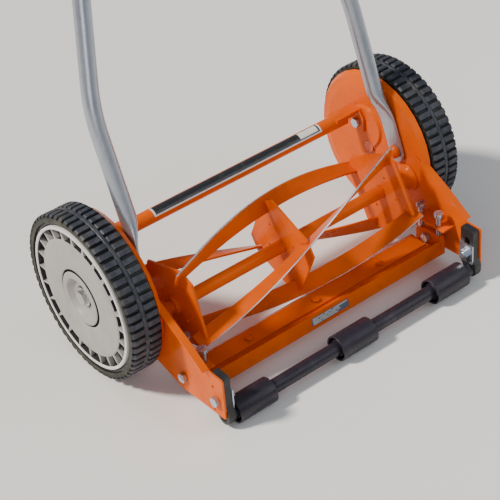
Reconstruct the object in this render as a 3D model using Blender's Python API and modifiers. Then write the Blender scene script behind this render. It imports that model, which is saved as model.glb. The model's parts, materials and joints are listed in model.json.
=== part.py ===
"""Push reel mower: two ground wheels drive a four-blade reel against a bed knife.

It has a rear roller on height brackets and a tee handle.

Metres, +Z up. X runs along the axles, +Y is the way the mower travels, and the ground is Z = 0.
Every shape is drawn with Y measured from the wheel axle. At the end the whole mower is moved so that
the origin is on the ground under the middle of its box.
"""

import math

import bmesh
import bpy
from mathutils import Matrix, Vector

MM = 0.001
WELD = 1e-6
GAP = 0.3 * MM  # running and seating clearance between neighbouring pieces

# Driving dimensions
WHEEL_RADIUS = 108 * MM
WHEEL_INNER_X = 215.3 * MM
WHEEL_OUTER_X = 257 * MM
AXLE_RADIUS = 8 * MM

GEAR_MODULE = 3.6 * MM
RING_TEETH = 50
PINION_TEETH = 10
REEL_DROP_DEG = 12.2  # the reel axis sits behind the wheel axis and this far below it

REEL_RADIUS = 67.5 * MM
REEL_ENDS_X = (-180.5 * MM, 165.5 * MM)  # the reel sits a little to the left between the plates
BLADE_WIDTH = 22 * MM
BLADE_THICKNESS = 3 * MM
BLADE_COUNT = 4
BLADE_ANGLE_DEG = 121.8  # first blade at X = 0, turned up from -Y
BLADE_TWIST_DEG_PER_MM = 0.311
REEL_SHAFT_RADIUS = 8.3 * MM
SPIDER_X = {"left": -171 * MM, "middle": -9 * MM, "right": 155 * MM}

PLATE_X = 202.9 * MM  # inboard face of the right side plate
PLATE_THICKNESS = 2.2 * MM
BOSS_RISE = 3 * MM  # how far the pressed boss round the axle stands inboard of the plate
LEDGE_TOP_Z = 60.5 * MM
SCREW_X = 188 * MM
SCREW_Y = (-110 * MM, -142 * MM)
SCREW_RADIUS = 4 * MM
FRAME_HOLE = 4.3 * MM  # radius that clears an 8 mm bolt
FRAME_BOLT = 4 * MM
HANDLE_HOLE = 3.3 * MM
HANDLE_BOLT = 3 * MM
STUD_HOLE = 5.3 * MM

KNIFE_ANGLE_DEG = 60  # where the knife edge meets the reel, below the horizontal towards the rear
KNIFE_CLEARANCE = 0.5 * MM
KNIFE_THICKNESS = 3 * MM
KNIFE_DEPTH = 25 * MM
KNIFE_HALF_LENGTH = 176 * MM
KNIFE_SLOPE = Vector((-25, -4)).normalized()  # from the edge towards the rear
BAR_SHEET = 3 * MM
BAR_HALF_LENGTH = 186 * MM
BAR_PIVOT = (-125 * MM, 36 * MM)
EAR_X = 185.5 * MM

ROLLER_RADIUS = 16.5 * MM
ROLLER_ROD_RADIUS = 9 * MM
ROLLER_YZ = (-192 * MM, ROLLER_RADIUS)
JOURNAL_RADIUS = 6 * MM
ROLLER_LENGTH = 54 * MM
ROLLER_CENTRES_X = {"left": -161 * MM, "middle": -4 * MM, "right": 151 * MM}
BRACKET_X = (192.4 * MM, 202.5 * MM)
BRACKET_BOLT = (-187 * MM, 40 * MM)
BRACKET_DOWN = 18 * MM  # the bracket's travel; at rest its slot's lower end is on the clamp bolt

TIE_BAR = (25 * MM, 150 * MM)
TIE_BAR_RADIUS = 9.5 * MM
TIE_FOOT = (18 * MM, 139 * MM)

HANDLE_PIVOT = (-53 * MM, 126 * MM)
HANDLE_LEAN_DEG = 20
ARM_RADIUS = 10.5 * MM
ARM_WALL = 1 * MM
ARM_X = 191 * MM
ARM_BEND = 215 * MM
ARM_JOIN = 840 * MM
ARM_TOP = 905 * MM
ARM_TOP_X = 24.5 * MM
GRIP_BAR_HEIGHT = 1000 * MM
GRIP_BAR_HALF_LENGTH = 205 * MM
STEM_RADIUS = 12.5 * MM
HANDLE_BOLTS = (862 * MM, 890 * MM)  # how far up the handle each one crosses

BOX_CENTRE_Y = 48.5 * MM  # middle of the whole mower, front to back, from the wheel axle

AXLE_YZ = (0.0, WHEEL_RADIUS)
MESH_ANGLE_DEG = 180 + REEL_DROP_DEG  # from the wheel axis to the reel axis, turned from +Y to +Z
REEL_OFFSET = GEAR_MODULE * (RING_TEETH - PINION_TEETH) / 2
REEL_YZ = (
    -REEL_OFFSET * math.cos(math.radians(REEL_DROP_DEG)),
    WHEEL_RADIUS - REEL_OFFSET * math.sin(math.radians(REEL_DROP_DEG)),
)

ORANGE = ("orange_paint", (0.86, 0.20, 0.02, 1), 0.35, 0.0)
BLADE_ORANGE = ("blade_paint", (0.80, 0.18, 0.02, 1), 0.40, 0.0)
GROUND_STEEL = ("ground_steel", (0.60, 0.60, 0.62, 1), 0.30, 1.0)
ZINC = ("zinc", (0.70, 0.71, 0.72, 1), 0.30, 1.0)
HANDLE_TUBE = ("handle_tube", (0.55, 0.57, 0.60, 1), 0.35, 1.0)
BLACK_PLASTIC = ("black_plastic", (0.02, 0.02, 0.022, 1), 0.50, 0.0)
TREAD = ("tread", (0.025, 0.025, 0.028, 1), 0.60, 0.0)
HUBCAP_GREY = ("hubcap_grey", (0.55, 0.56, 0.57, 1), 0.45, 0.0)
GEAR_STEEL = ("gear_steel", (0.30, 0.30, 0.31, 1), 0.45, 1.0)
FOAM = ("foam", (0.03, 0.03, 0.03, 1), 0.90, 0.0)


# ---- scene and object helpers ----

def clear_scene():
    for obj in list(bpy.data.objects):
        bpy.data.objects.remove(obj, do_unlink=True)
    collection = bpy.data.collections.new("reel_mower")
    bpy.context.scene.collection.children.link(collection)
    return collection


def material(spec):
    name, colour, roughness, metallic = spec
    found = bpy.data.materials.get(name)
    if found:
        return found
    made = bpy.data.materials.new(name)
    made.use_nodes = True
    shader = made.node_tree.nodes["Principled BSDF"]
    shader.inputs["Base Color"].default_value = colour
    shader.inputs["Roughness"].default_value = roughness
    shader.inputs["Metallic"].default_value = metallic
    return made


def new_object(name, data):
    obj = bpy.data.objects.new(name, data)
    PARTS.objects.link(obj)
    return obj


def evaluated_mesh(obj):
    """The object's shape with its modifiers applied, in world space, and any loose caps welded on."""
    bpy.context.view_layer.update()
    graph = bpy.context.evaluated_depsgraph_get()
    mesh = bpy.data.meshes.new_from_object(obj.evaluated_get(graph))
    mesh.transform(obj.matrix_world)
    shape = bmesh.new()
    shape.from_mesh(mesh)
    bmesh.ops.remove_doubles(shape, verts=shape.verts, dist=WELD)
    shape.to_mesh(mesh)
    shape.free()
    return mesh


def bake(obj):
    """Swaps a curve or a modified object for its own mesh, at the world origin."""
    name = obj.name
    mesh = evaluated_mesh(obj)
    bpy.data.objects.remove(obj, do_unlink=True)
    return new_object(name, mesh)


def combine(target, tool, operation):
    """Joins a tool to the target, or cuts it away, and removes the tool."""
    modifier = target.modifiers.new(operation.lower(), "BOOLEAN")
    modifier.operation = operation
    modifier.solver = "EXACT"
    modifier.object = tool
    made = bake(target)
    bpy.data.objects.remove(tool, do_unlink=True)
    return made


def join(target, *tools):
    for tool in tools:
        target = combine(target, tool, "UNION")
    return target


def cut(target, *tools):
    for tool in tools:
        target = combine(target, tool, "DIFFERENCE")
    return target


def finish(obj, name, spec, origin=(0, 0, 0)):
    """Names the piece, gives it its material and puts its origin on the given point."""
    obj.name = name
    obj.data.name = name
    obj.data.materials.clear()
    obj.data.materials.append(material(spec))
    obj.data.transform(Matrix.Translation(-Vector(origin)))
    obj.location = origin
    obj.data.shade_smooth()
    obj.data.set_sharp_from_angle(angle=math.radians(32))
    return obj


def mirror_to_left(obj):
    """Turns right_NAME's shape over the plane X = 0 as left_NAME, which shares its mesh."""
    left = new_object(obj.name.replace("right_", "left_"), obj.data)
    left.location = (-obj.location.x, obj.location.y, obj.location.z)
    left.scale = (-1, 1, 1)
    return left


def finish_pair(obj, name, spec, origin=(0, 0, 0)):
    right = finish(obj, "right_" + name, spec, origin)
    return right, mirror_to_left(right)


# ---- shape helpers: everything below works in YZ outlines and X stations ----

def arc(centre, radius, start_deg, end_deg, count):
    """Points on an arc in the YZ plane, angles turned from +Y to +Z."""
    step = (end_deg - start_deg) / (count - 1)
    angles = [math.radians(start_deg + step * i) for i in range(count)]
    return [(centre[0] + radius * math.cos(a), centre[1] + radius * math.sin(a)) for a in angles]


def circle(centre, radius, count):
    return arc(centre, radius, 0, 360, count + 1)[:-1]


def on_reel(radius, angle_deg):
    """A point about the reel axis, its angle turned up from -Y."""
    angle = math.radians(angle_deg)
    return (REEL_YZ[0] - radius * math.cos(angle), REEL_YZ[1] + radius * math.sin(angle))


def along_handle(distance, across=0.0):
    """The YZ point this far up the handle from its pivot, and this far across towards the front."""
    lean = math.radians(HANDLE_LEAN_DEG)
    return (
        HANDLE_PIVOT[0] + distance * math.sin(lean) + across * math.cos(lean),
        HANDLE_PIVOT[1] + distance * math.cos(lean) - across * math.sin(lean),
    )


def extruded(x0, x1, *outlines):
    """A closed YZ outline, with any holes after it, drawn out from x0 to x1."""
    curve = bpy.data.curves.new("outline", "CURVE")
    curve.dimensions = "2D"
    curve.fill_mode = "BOTH"
    curve.extrude = abs(x1 - x0) / 2
    for outline in outlines:
        spline = curve.splines.new("POLY")
        spline.points.add(len(outline) - 1)
        for point, (y, z) in zip(spline.points, outline):
            point.co = (y, z, 0, 1)
        spline.use_cyclic_u = True
    obj = new_object("outline", curve)
    obj.rotation_euler = (math.pi / 2, 0, math.pi / 2)
    obj.location.x = (x0 + x1) / 2
    return bake(obj)


def strip_outline(points, thickness):
    """The outline of a bent sheet whose face follows the points and whose thickness lies to their left."""
    below = []
    for i, (y, z) in enumerate(points):
        before = Vector(points[i]) - Vector(points[max(i - 1, 0)])
        after = Vector(points[min(i + 1, len(points) - 1)]) - Vector(points[i])
        before = before.normalized() if before.length else after.normalized()
        after = after.normalized() if after.length else before
        normal = Vector((-(before.y + after.y), before.x + after.x)).normalized()
        reach = thickness / max(normal.dot(Vector((-before.y, before.x))), 0.3)
        below.append((y + normal.x * reach, z + normal.y * reach))
    return list(points) + below[::-1]


def rod(x0, x1, centre, radius, sides=20):
    """A cylinder along X."""
    shape = bmesh.new()
    turn = Matrix.Rotation(math.pi / 2, 4, "Y")
    place = Matrix.Translation(((x0 + x1) / 2, centre[0], centre[1])) @ turn
    bmesh.ops.create_cone(shape, cap_ends=True, segments=sides, radius1=radius, radius2=radius,
                          depth=abs(x1 - x0), matrix=place)
    mesh = bpy.data.meshes.new("rod")
    shape.to_mesh(mesh)
    shape.free()
    return new_object("rod", mesh)


def upright(x, y, z0, z1, radius, sides=12):
    """A cylinder along Z."""
    shape = bmesh.new()
    bmesh.ops.create_cone(shape, cap_ends=True, segments=sides, radius1=radius, radius2=radius,
                          depth=z1 - z0, matrix=Matrix.Translation((x, y, (z0 + z1) / 2)))
    mesh = bpy.data.meshes.new("upright")
    shape.to_mesh(mesh)
    shape.free()
    return new_object("upright", mesh)


def block(low, high):
    shape = bmesh.new()
    middle = [(a + b) / 2 for a, b in zip(low, high)]
    size = [b - a for a, b in zip(low, high)]
    place = Matrix.Translation(middle) @ Matrix.Diagonal((*size, 1))
    bmesh.ops.create_cube(shape, size=1, matrix=place)
    mesh = bpy.data.meshes.new("block")
    shape.to_mesh(mesh)
    shape.free()
    return new_object("block", mesh)


def turned(profile, centre, steps, closed=False):
    """A shape turned about X. The profile is (x, radius) points, running from high x to low x outside."""
    mesh = bpy.data.meshes.new("turned")
    ends = [(i, i + 1) for i in range(len(profile) - 1)]
    if closed:
        ends.append((len(profile) - 1, 0))
    mesh.from_pydata([(radius, 0, x) for x, radius in profile], ends, [])
    obj = new_object("turned", mesh)
    screw = obj.modifiers.new("screw", "SCREW")
    screw.steps = screw.render_steps = steps
    screw.use_merge_vertices = True
    screw.merge_threshold = WELD
    obj.rotation_euler = (0, math.pi / 2, 0)
    obj.location = (0, centre[0], centre[1])
    return bake(obj)


def skin(rings):
    """A solid through rings of points, each ring with as many points as the next."""
    shape = bmesh.new()
    loops = [[shape.verts.new(point) for point in ring] for ring in rings]
    for lower, upper in zip(loops, loops[1:]):
        for i in range(len(lower)):
            j = (i + 1) % len(lower)
            shape.faces.new((lower[i], lower[j], upper[j], upper[i]))
    shape.faces.new(loops[0][::-1])
    shape.faces.new(loops[-1])
    bmesh.ops.recalc_face_normals(shape, faces=shape.faces)
    mesh = bpy.data.meshes.new("skin")
    shape.to_mesh(mesh)
    shape.free()
    return new_object("skin", mesh)


def bolt(x_head, x_tip, centre, shank, head_radius, head_height, nut_height=0.0, nut_gap=0.0):
    """A hexagon-headed bolt along X. The head is at x_head; a nut may sit near the tip."""
    way = 1 if x_tip > x_head else -1
    made = rod(x_head, x_tip, centre, shank, 12)
    made = join(made, rod(x_head, x_head + way * head_height, centre, head_radius, 6))
    if nut_height:
        start = x_tip - way * nut_gap
        made = join(made, rod(start, start - way * nut_height, centre, head_radius, 6))
    return made


def tube(points, radius, wall, sides=8):
    """An open-ended tube along the points."""
    curve = bpy.data.curves.new("tube", "CURVE")
    curve.dimensions = "3D"
    curve.bevel_depth = radius
    curve.bevel_resolution = sides // 2 - 2
    spline = curve.splines.new("POLY")
    spline.points.add(len(points) - 1)
    for point, position in zip(spline.points, points):
        point.co = (*position, 1)
    obj = new_object("tube", curve)
    obj = bake(obj)
    solid = obj.modifiers.new("wall", "SOLIDIFY")
    solid.thickness = wall
    solid.offset = -1
    return bake(obj)


# ---- wheels ----

def make_tyre():
    inner = 98 * MM
    shoulder = 3 * MM
    x0, x1 = WHEEL_INNER_X, WHEEL_OUTER_X - 0.2 * MM
    profile = [
        (x1, inner),
        (x1, WHEEL_RADIUS - shoulder),
        (x1 - shoulder, WHEEL_RADIUS),
        (x0 + shoulder, WHEEL_RADIUS),
        (x0, WHEEL_RADIUS - shoulder),
        (x0, inner),
    ]
    tyre = turned(profile, AXLE_YZ, 44, closed=True)
    finish_pair(tyre, "tyre", TREAD, (0, *AXLE_YZ))


def gear_outline(centre, teeth, pitch_radius, tip_radius, root_radius, widths, phase_deg):
    """A ring of plain trapezoid teeth. widths are a tooth's width at its root and at its tip."""
    points = []
    for i in range(teeth):
        middle = math.radians(phase_deg + 360 / teeth * i)
        for radius, width, side in (
            (root_radius, widths[0], -1),
            (tip_radius, widths[1], -1),
            (tip_radius, widths[1], 1),
            (root_radius, widths[0], 1),
        ):
            angle = middle + side * width / 2 / radius
            points.append((centre[0] + radius * math.cos(angle), centre[1] + radius * math.sin(angle)))
    return points


def make_wheel_rim():
    """Rim, web and hub in one moulding, with the internal gear that drives the reel."""
    hub_bore = AXLE_RADIUS + GAP
    profile = [
        (250 * MM, hub_bore),
        (250 * MM, 14 * MM),
        (243 * MM, 16 * MM),
        (243 * MM, 95 * MM),
        (254 * MM, 95 * MM),
        (254 * MM, 97.7 * MM),
        (216 * MM, 97.7 * MM),
        (216 * MM, 95 * MM),
        (240 * MM, 95 * MM),
        (240 * MM, 16 * MM),
        (219 * MM, 14 * MM),
        (219 * MM, hub_bore),
    ]
    rim = turned(profile, AXLE_YZ, 32, closed=True)
    pitch = GEAR_MODULE * RING_TEETH / 2
    half_tooth = 180 / RING_TEETH
    teeth = gear_outline(AXLE_YZ, RING_TEETH, pitch, pitch - 2.9 * MM, pitch + 3.7 * MM,
                         (6.6 * MM, 3.0 * MM), MESH_ANGLE_DEG + half_tooth)
    ring = extruded(217 * MM, 236 * MM, circle(AXLE_YZ, 96.3 * MM, 32), teeth)
    rim = join(rim, ring)
    finish_pair(rim, "wheel_rim", BLACK_PLASTIC, (0, *AXLE_YZ))


def make_hubcap():
    profile = [
        (249 * MM, 16 * MM),
        (257.4 * MM, 18 * MM),
        (257.4 * MM, 34 * MM),
        (254 * MM, 36 * MM),
        (256 * MM, 38.5 * MM),
        (256 * MM, 77 * MM),
        (253 * MM, 78 * MM),
        (253 * MM, 87 * MM),
        (257 * MM, 88 * MM),
        (257 * MM, 94.5 * MM),
        (246 * MM, 94.5 * MM),
        (250 * MM, 86 * MM),
        (250 * MM, 22 * MM),
        (246 * MM, 16 * MM),
    ]
    cap = turned(profile, AXLE_YZ, 32, closed=True)
    finish_pair(cap, "hubcap", HUBCAP_GREY, (0, *AXLE_YZ))


def make_axle():
    """Stud riveted flush into the plate's boss, with a collar, and the wheel's washer and nut."""
    axle = rod(PLATE_X - BOSS_RISE - GAP, 253.5 * MM, AXLE_YZ, AXLE_RADIUS)
    collar = rod(PLATE_X + PLATE_THICKNESS + GAP, 218.5 * MM, AXLE_YZ, 12 * MM)
    washer = rod(250.4 * MM, 251.8 * MM, AXLE_YZ, 12.5 * MM)
    nut = rod(251.4 * MM, 256.4 * MM, AXLE_YZ, 9.5 * MM, 6)
    axle = join(axle, collar, washer, nut)
    finish_pair(axle, "axle_bolt", ZINC, (0, *AXLE_YZ))


def make_pinion():
    pitch = GEAR_MODULE * PINION_TEETH / 2
    teeth = gear_outline(REEL_YZ, PINION_TEETH, pitch, pitch + 2.9 * MM, pitch - 4.2 * MM,
                         (6.2 * MM, 2.2 * MM), MESH_ANGLE_DEG)
    bore = circle(REEL_YZ, AXLE_RADIUS + GAP, 20)
    pinion = extruded(219 * MM, 233 * MM, teeth, bore)
    finish_pair(pinion, "pinion", GEAR_STEEL, (0, *REEL_YZ))


# ---- frame ----

def boss_outline(inset):
    """A rounded triangle round the tie bar's foot and the axle: two circles and their common tangents."""
    large, small = Vector((7 * MM, 135 * MM)), Vector((12 * MM, 106 * MM))
    large_radius, small_radius = 31 * MM, 17 * MM
    across = small - large
    way = math.degrees(math.atan2(across.y, across.x))
    spread = math.degrees(math.acos((large_radius - small_radius) / across.length))
    return (arc(large, large_radius - inset, way + spread, way + 360 - spread, 18)
            + arc(small, small_radius - inset, way - spread, way + spread, 10))


def make_boss(x_wide, wide_inset, x_narrow, narrow_inset):
    return skin([[(x, y, z) for y, z in boss_outline(inset)]
                 for x, inset in ((x_wide, wide_inset), (x_narrow, narrow_inset))])


def make_side_plate():
    """Pressed side plate: dished gear cover with a boss, rear arm with turned edge, ledge and rear tab."""
    x0, x1 = PLATE_X, PLATE_X + PLATE_THICKNESS
    flat = 80 * MM
    cover = turned([
        (x1, 0),
        (x1, flat),
        (x1 + 3 * MM, flat + 7 * MM),
        (x1 + 4.5 * MM, flat + 15 * MM),
        (x1 + 9 * MM, flat + 20.5 * MM),
        (x1 + 8 * MM, flat + 22 * MM),
        (x0 + 3.5 * MM, flat + 17 * MM),
        (x0 + 3 * MM, flat + 8 * MM),
        (x0, flat + 1 * MM),
        (x0, 0),
    ], AXLE_YZ, 32)
    arm_outline = [
        (-20 * MM, 150 * MM),
        (-62 * MM, 141 * MM),
        (-83 * MM, 130 * MM),
        (-139 * MM, 100 * MM),
        (-176 * MM, 76 * MM),
        (-198 * MM, 76 * MM),
        (-200 * MM, 74 * MM),
        (-200 * MM, 20 * MM),
        (-198 * MM, 18 * MM),
        (-167 * MM, 17 * MM),
        (-120 * MM, 14 * MM),
        (-60 * MM, 30 * MM),
        (-25 * MM, 55 * MM),
    ]
    shift = 0.1 * MM
    arm = extruded(x0 - shift, x1 + shift, arm_outline)
    edge = strip_outline([(-92 * MM, 125.4 * MM), (-139 * MM, 100.2 * MM), (-174 * MM, 77.6 * MM)], 2 * MM)
    turned_edge = extruded(x0 + 0.4 * MM, x0 + 9.5 * MM, edge)
    ledge = block((182 * MM, -156 * MM, LEDGE_TOP_Z - 2.5 * MM), (x0 + 1 * MM, -105 * MM, LEDGE_TOP_Z))
    slope = 4 * MM
    boss = make_boss(x0 + 0.6 * MM, 0, x0 - BOSS_RISE, slope)
    hollow = make_boss(x1 + 0.6 * MM, 1 * MM, x1 - BOSS_RISE, slope + 1.2 * MM)
    plate = cut(join(cover, arm, turned_edge, ledge, boss), hollow)
    holes = (
        (AXLE_YZ, AXLE_RADIUS + GAP, 24),
        (REEL_YZ, REEL_SHAFT_RADIUS + 2 * GAP, 24),
        (HANDLE_PIVOT, STUD_HOLE, 16),
        (BAR_PIVOT, FRAME_HOLE, 16),
        (BRACKET_BOLT, FRAME_HOLE, 16),
        (TIE_FOOT, FRAME_HOLE, 16),
        ((-181 * MM, 57 * MM), 2.2 * MM, 10),
        ((-181 * MM, 23 * MM), 2.2 * MM, 10),
    )
    tools = [rod(x0 - 9 * MM, x1 + 9 * MM, centre, radius, sides) for centre, radius, sides in holes]
    for y in SCREW_Y:
        tools.append(upright(SCREW_X, y, LEDGE_TOP_Z - 9 * MM, LEDGE_TOP_Z + 9 * MM, SCREW_RADIUS + GAP))
    finish_pair(cut(plate, *tools), "side_plate", ORANGE)


def make_tie_bar():
    """Front cross tube. Each end is flattened into a tongue and turned down into a bolted foot."""
    inner = 172 * MM
    bar = rod(-inner, inner, TIE_BAR, TIE_BAR_RADIUS)
    y, z = TIE_BAR
    top = z + TIE_BAR_RADIUS
    foot_x = PLATE_X - BOSS_RISE - 0.4 * MM
    for side in (-1, 1):
        spread = extruded(side * (inner - 12 * MM), side * (inner + 18 * MM),
                          [(y - 11 * MM, top - 6 * MM), (y + 9 * MM, top - 6 * MM),
                           (y + 9 * MM, top - 1 * MM), (y - 11 * MM, top - 1 * MM)])
        neck = extruded(side * (inner - 3 * MM), side * (inner + 8 * MM),
                        [(y - 8.5 * MM, z - 5 * MM), (y + 8 * MM, z - 5 * MM),
                         (y + 8.5 * MM, top - 2 * MM), (y - 9.5 * MM, top - 2 * MM)])
        foot = extruded(side * (foot_x - 3.2 * MM), side * foot_x,
                        [(y - 19 * MM, z - 22 * MM), (y + 9 * MM, z - 22 * MM),
                         (y + 9 * MM, top), (y - 11 * MM, top), (y - 19 * MM, z - 2 * MM)])
        web = extruded(side * (inner + 10 * MM), side * (foot_x - 1 * MM),
                       [(y - 10.5 * MM, top - 4 * MM), (y + 8.5 * MM, top - 4 * MM),
                        (y + 8.5 * MM, top - 0.5 * MM), (y - 10.5 * MM, top - 0.5 * MM)])
        bar = join(bar, neck, spread, web, foot)
        bar = cut(bar, rod(side * (foot_x - 9 * MM), side * (foot_x + 9 * MM), TIE_FOOT, FRAME_HOLE, 16))
    finish(bar, "tie_bar", ORANGE, (0, *TIE_BAR))
    head_x = foot_x - 3.2 * MM - GAP
    tie_bolt = bolt(head_x - 5 * MM, 211.5 * MM, TIE_FOOT, FRAME_BOLT, 7 * MM, 5 * MM, 4 * MM, 1.5 * MM)
    finish_pair(tie_bolt, "tie_bar_bolt", ZINC, (0, *TIE_FOOT))


def make_reel_bearing():
    """Turned bush that carries the reel shaft inboard of the side plate."""
    bore = REEL_SHAFT_RADIUS + GAP
    end = PLATE_X - 2 * GAP
    profile = [
        (end, bore),
        (end, 19 * MM),
        (end - 2 * MM, 19 * MM),
        (end - 5 * MM, 15 * MM),
        (end - 10 * MM, 13 * MM),
        (184 * MM, 12 * MM),
        (183 * MM, 10.5 * MM),
        (183 * MM, bore),
    ]
    finish_pair(turned(profile, REEL_YZ, 16, closed=True), "reel_bearing", ORANGE, (0, *REEL_YZ))


def make_adjusting_screws():
    """Vertical slotted screws through the ledge: the front one pushes the bed knife down, the rear one up."""
    head = 75 * MM
    for place, y, tip in (("front", SCREW_Y[0], 44.6 * MM), ("rear", SCREW_Y[1], 46.6 * MM)):
        screw = join(upright(SCREW_X, y, tip, head + 1 * MM, SCREW_RADIUS),
                     upright(SCREW_X, y, head, head + 5 * MM, 6.5 * MM, 20))
        slot = block((SCREW_X - 9 * MM, y - 0.8 * MM, head + 3.2 * MM),
                     (SCREW_X + 9 * MM, y + 0.8 * MM, head + 9 * MM))
        finish_pair(cut(screw, slot), place + "_adjusting_screw", ZINC, (SCREW_X, y, tip))


def make_handle_stud():
    """Round-headed stud that the handle arm turns on."""
    knob = turned([
        (PLATE_X + PLATE_THICKNESS + 4 * MM, 0),
        (PLATE_X + PLATE_THICKNESS + 4 * MM, 8 * MM),
        (PLATE_X + PLATE_THICKNESS + 2 * GAP, 8 * MM),
        (PLATE_X + PLATE_THICKNESS + 2 * GAP, 5 * MM),
        (197.2 * MM, 5 * MM),
        (197.2 * MM, 9 * MM),
        (193 * MM, 8.6 * MM),
        (190 * MM, 6 * MM),
        (189 * MM, 0),
    ], HANDLE_PIVOT, 14)
    finish_pair(knob, "handle_stud", ORANGE, (0, *HANDLE_PIVOT))


# ---- bed knife ----

def knife_point(back, down):
    """A point this far behind the knife edge along its top face, and this far below that face."""
    downward = Vector((-KNIFE_SLOPE.y, KNIFE_SLOPE.x))
    edge = Vector(on_reel(REEL_RADIUS + KNIFE_CLEARANCE, -KNIFE_ANGLE_DEG))
    spot = edge + KNIFE_SLOPE * back + downward * down
    return (spot.x, spot.y)


def make_bed_knife():
    knife = extruded(-KNIFE_HALF_LENGTH, KNIFE_HALF_LENGTH, [
        knife_point(0, 0),
        knife_point(KNIFE_DEPTH, 0),
        knife_point(KNIFE_DEPTH, KNIFE_THICKNESS),
        knife_point(1.5 * MM, KNIFE_THICKNESS),
        knife_point(0, 1.2 * MM),
    ])
    finish(knife, "bed_knife", BLADE_ORANGE, (0, *BAR_PIVOT))

    shelf = KNIFE_THICKNESS + GAP
    surface = [
        knife_point(8 * MM, shelf),
        knife_point(KNIFE_DEPTH + 1 * MM, shelf),
        (-146.5 * MM, 39 * MM),
        (-151 * MM, 21 * MM),
        (-148 * MM, 17.5 * MM),
        (-138 * MM, 15.5 * MM),
    ]
    bar = extruded(-BAR_HALF_LENGTH, BAR_HALF_LENGTH, strip_outline(surface, BAR_SHEET))
    ear_outline = [
        (-104 * MM, 24 * MM),
        (-104 * MM, 38 * MM),
        (-107 * MM, 44.2 * MM),
        (-116 * MM, 44.2 * MM),
        (-120 * MM, 46.2 * MM),
        (-147 * MM, 46.2 * MM),
        (-150 * MM, 40 * MM),
        (-150.6 * MM, 20 * MM),
        (-147 * MM, 16 * MM),
        (-110 * MM, 18 * MM),
    ]
    for side in (-1, 1):
        bar = join(bar, extruded(side * (EAR_X - 1 * MM), side * (EAR_X + 5 * MM), ear_outline))
        bore = rod(side * (EAR_X - 5 * MM), side * (EAR_X + 9 * MM), BAR_PIVOT, FRAME_HOLE, 16)
        bar = cut(bar, bore)
    finish(bar, "bed_bar", ORANGE, (0, *BAR_PIVOT))

    for place, x in (("left", -105 * MM), ("middle", 0.0), ("right", 105 * MM)):
        y, z = knife_point(16 * MM, 0)
        screw = upright(x, y, z + 1.2 * MM, z + 3.2 * MM, 5 * MM, 16)
        finish(screw, "knife_screw_" + place, BLADE_ORANGE, (x, y, z))

    pivot = bolt(177.5 * MM, 212 * MM, BAR_PIVOT, FRAME_BOLT, 6.5 * MM, 6 * MM, 5 * MM, 1.2 * MM)
    finish_pair(pivot, "bed_bar_pivot_bolt", ZINC, (0, *BAR_PIVOT))


# ---- roller and its height brackets ----

def make_roller():
    stub = BRACKET_X[1] - 1 * MM
    shoulder = BRACKET_X[0] - 1 * MM
    shaft = turned([
        (stub, 0),
        (stub, JOURNAL_RADIUS),
        (shoulder, JOURNAL_RADIUS),
        (shoulder, ROLLER_ROD_RADIUS),
        (-shoulder, ROLLER_ROD_RADIUS),
        (-shoulder, JOURNAL_RADIUS),
        (-stub, JOURNAL_RADIUS),
        (-stub, 0),
    ], ROLLER_YZ, 16)
    finish(shaft, "roller_rod", BLACK_PLASTIC, (0, *ROLLER_YZ))
    for place, middle in ROLLER_CENTRES_X.items():
        half = ROLLER_LENGTH / 2
        x0, x1 = middle - half, middle + half
        bore = ROLLER_ROD_RADIUS + GAP
        wall = 1.8 * MM
        sleeve = turned([
            (x1, ROLLER_RADIUS - wall),
            (x1, ROLLER_RADIUS - 0.4 * MM),
            (x1 - 1 * MM, ROLLER_RADIUS),
            (x0 + 1 * MM, ROLLER_RADIUS),
            (x0, ROLLER_RADIUS - 0.4 * MM),
            (x0, ROLLER_RADIUS - wall),
            (middle - 2 * MM, ROLLER_RADIUS - wall - 0.3 * MM),
            (middle - 2 * MM, bore + 1.6 * MM),
            (x0 + 3 * MM, bore + 1.2 * MM),
            (x0 + 3 * MM, bore),
            (x1 - 3 * MM, bore),
            (x1 - 3 * MM, bore + 1.2 * MM),
            (middle + 2 * MM, bore + 1.6 * MM),
            (middle + 2 * MM, ROLLER_RADIUS - wall - 0.3 * MM),
        ], ROLLER_YZ, 16, closed=True)
        finish(sleeve, "roller_" + place, BLACK_PLASTIC, (middle, *ROLLER_YZ))


def make_height_brackets():
    """Slotted slides that carry the roller. Their clamp bolts stay on the frame."""
    y, z = BRACKET_BOLT
    front, back, low_back = y + 11 * MM, y - 11 * MM, ROLLER_YZ[0] - 11 * MM
    outline = [
        (front - 1.5 * MM, 76 * MM),
        (back + 1.5 * MM, 76 * MM),
        (back, 74.5 * MM),
        (back, 34 * MM),
        (low_back, 26 * MM),
        *arc(ROLLER_YZ, 11 * MM, 180, 360, 9),
        (front, 24 * MM),
        (front, 74.5 * MM),
    ]
    slot_radius = 4.5 * MM
    low, high = z - GAP, z + BRACKET_DOWN + GAP
    slot = arc((y, high), slot_radius, 0, 180, 9) + arc((y, low), slot_radius, 180, 360, 9)
    bore = circle(ROLLER_YZ, JOURNAL_RADIUS + GAP, 20)
    bracket = extruded(BRACKET_X[0], BRACKET_X[1], outline, slot, bore)
    finish_pair(bracket, "height_bracket", BLACK_PLASTIC, (0, *ROLLER_YZ))

    plate_end = BRACKET_X[0] - GAP
    shank = bolt(211 * MM, 183.5 * MM, BRACKET_BOLT, FRAME_BOLT, 7 * MM, 5.2 * MM, 5 * MM, 1.2 * MM)
    clamp = extruded(plate_end - 1.8 * MM, plate_end, [
        (y - 12 * MM, z - 13 * MM),
        (y - 12 * MM, z + 15 * MM),
        (y + 11 * MM, z + 15 * MM),
        (y + 11 * MM, z - 13 * MM),
    ])
    spacer = rod(plate_end - 4.2 * MM, plate_end - 1 * MM, BRACKET_BOLT, 6 * MM)
    finish_pair(join(shank, clamp, spacer), "height_clamp_bolt", ZINC, (0, *BRACKET_BOLT))


# ---- reel ----

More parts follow.
